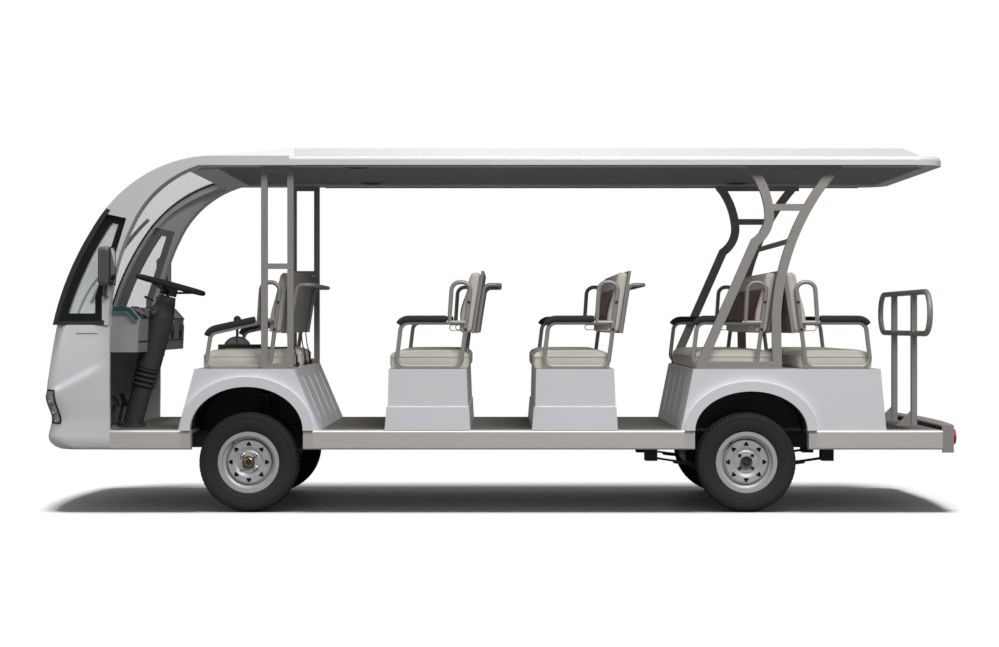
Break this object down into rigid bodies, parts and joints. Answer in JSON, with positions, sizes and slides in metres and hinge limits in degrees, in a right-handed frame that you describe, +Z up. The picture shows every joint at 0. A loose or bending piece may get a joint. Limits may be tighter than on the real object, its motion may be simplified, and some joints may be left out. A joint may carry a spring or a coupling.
{
  "type": "open electric sightseeing car",
  "caption": "Open-sided electric shuttle with bench rows on seat boxes, a wrap-round windscreen, a canopy roof on tube frames and steered front wheels.",
  "frame": {"origin": "on the floor under the middle of the vehicle's box, at mid-wheelbase", "axes": "+X forward, +Y to the vehicle's left, +Z up"},
  "size_m": [5.153, 1.732, 2.0329],
  "materials": {
    "body_white": "gloss-painted glass-fibre body",
    "sill_cream": "satin painted sill",
    "floor_grey": "ribbed floor covering",
    "lining_grey": "moulded ceiling lining",
    "frame_grey": "warm grey powder coat",
    "frame_black": "satin black plastic",
    "shell_grey": "grained plastic back shell",
    "seat_cream": "cream leatherette",
    "pad_black": "moulded armrest foam",
    "dash_grey": "moulded dashboard",
    "column_black": "moulded black plastic",
    "grip_black": "soft steering-wheel grip",
    "clear_glass": "clear safety glass",
    "lamp_lens": "clear lamp lens",
    "lamp_red": "red lamp lens",
    "rim_silver": "silver painted steel wheel",
    "tyre_black": "road tyre",
    "underbody_black": "black chassis paint",
    "battery_plastic": "battery case"
  },
  "bodies": {
    "chassis": {"chassis_frame": "underbody_black", "floor_deck": "floor_grey", "sill_panels": "sill_cream", "front_wheel_box": "body_white", "rear_wheel_box": "body_white", "seat_pedestal_row2": "body_white", "seat_pedestal_row3": "body_white", "battery_pack": "battery_plastic", "nose_shell": "body_white", "headlamps": "lamp_lens", "front_cap": "body_white", "roof_panel": "body_white", "roof_lining": "lining_grey", "windscreen": "clear_glass", "quarter_frames": "frame_black", "quarter_windows": "clear_glass", "front_roof_frame": "frame_grey", "rear_roof_frame": "frame_grey", "backrest_shells": "shell_grey", "arm_frames": "frame_grey", "armrest_pads": "pad_black", "grab_handles": "frame_grey", "dashboard": "dash_grey", "steering_column": "column_black", "driver_controls": "column_black", "side_mirrors": "frame_black", "rear_handrail": "frame_grey", "rear_bumper": "frame_grey", "tail_lamps": "lamp_red", "front_suspension": "underbody_black", "front_dampers": "underbody_black", "rear_axle": "underbody_black", "leaf_springs": "underbody_black", "wheel_liners": "underbody_black", "seat_cushion_row1": "seat_cream", "seat_backrest_row1": "seat_cream", "seat_cushion_row2": "seat_cream", "seat_backrest_row2": "seat_cream", "seat_cushion_row3": "seat_cream", "seat_backrest_row3": "seat_cream", "seat_cushion_row4": "seat_cream", "seat_backrest_row4": "seat_cream", "seat_cushion_row5": "seat_cream", "seat_backrest_row5": "seat_cream"},
    "steering_wheel": {"steering_wheel": "grip_black"},
    "track_rod": {"track_rod": "underbody_black"},
    "knuckle_left": {"knuckle_left": "underbody_black"},
    "knuckle_right": {"knuckle_right": "underbody_black"},
    "wheel_front_left": {"rim_front_left": "rim_silver", "tyre_front_left": "tyre_black"},
    "wheel_front_right": {"rim_front_right": "rim_silver", "tyre_front_right": "tyre_black"},
    "wheel_rear_left": {"rim_rear_left": "rim_silver", "tyre_rear_left": "tyre_black"},
    "wheel_rear_right": {"rim_rear_right": "rim_silver", "tyre_rear_right": "tyre_black"}
  },
  "joints": [
    {"name": "steer_left", "type": "hinge", "parent": "chassis", "child": "knuckle_left", "pos_m": [1.385, 0.49, 0.277], "axis": [0, 0, 1], "range_deg": [-30, 30]},
    {"name": "steer_right", "type": "hinge", "parent": "chassis", "child": "knuckle_right", "pos_m": [1.385, -0.49, 0.277], "axis": [0, 0, 1], "range_deg": [-30, 30]},
    {"name": "steering_wheel_turn", "type": "hinge", "parent": "chassis", "child": "steering_wheel", "pos_m": [1.877, 0.33, 1.271], "axis": [-0.2645, 0, 0.9644], "range_deg": [-480, 480]},
    {"name": "track_rod_slide", "type": "slide", "parent": "chassis", "child": "track_rod", "axis": [0, 1, 0], "range_m": [-0.0786, 0.0786]},
    {"name": "spin_front_left", "type": "hinge", "parent": "knuckle_left", "child": "wheel_front_left", "pos_m": [1.385, 0.58, 0.277], "axis": [0, 1, 0], "continuous": true},
    {"name": "spin_front_right", "type": "hinge", "parent": "knuckle_right", "child": "wheel_front_right", "pos_m": [1.385, -0.58, 0.277], "axis": [0, 1, 0], "continuous": true},
    {"name": "spin_rear_left", "type": "hinge", "parent": "chassis", "child": "wheel_rear_left", "pos_m": [-1.385, 0.58, 0.277], "axis": [0, 1, 0], "continuous": true},
    {"name": "spin_rear_right", "type": "hinge", "parent": "chassis", "child": "wheel_rear_right", "pos_m": [-1.385, -0.58, 0.277], "axis": [0, 1, 0], "continuous": true}
  ],
  "couplings": [
    {"joint": "steer_right", "follows": "steer_left", "ratio": 1},
    {"joint": "steering_wheel_turn", "follows": "steer_left", "ratio": 16},
    {"joint": "track_rod_slide", "follows": "steer_left", "m_per_rad": -0.15}
  ]
}
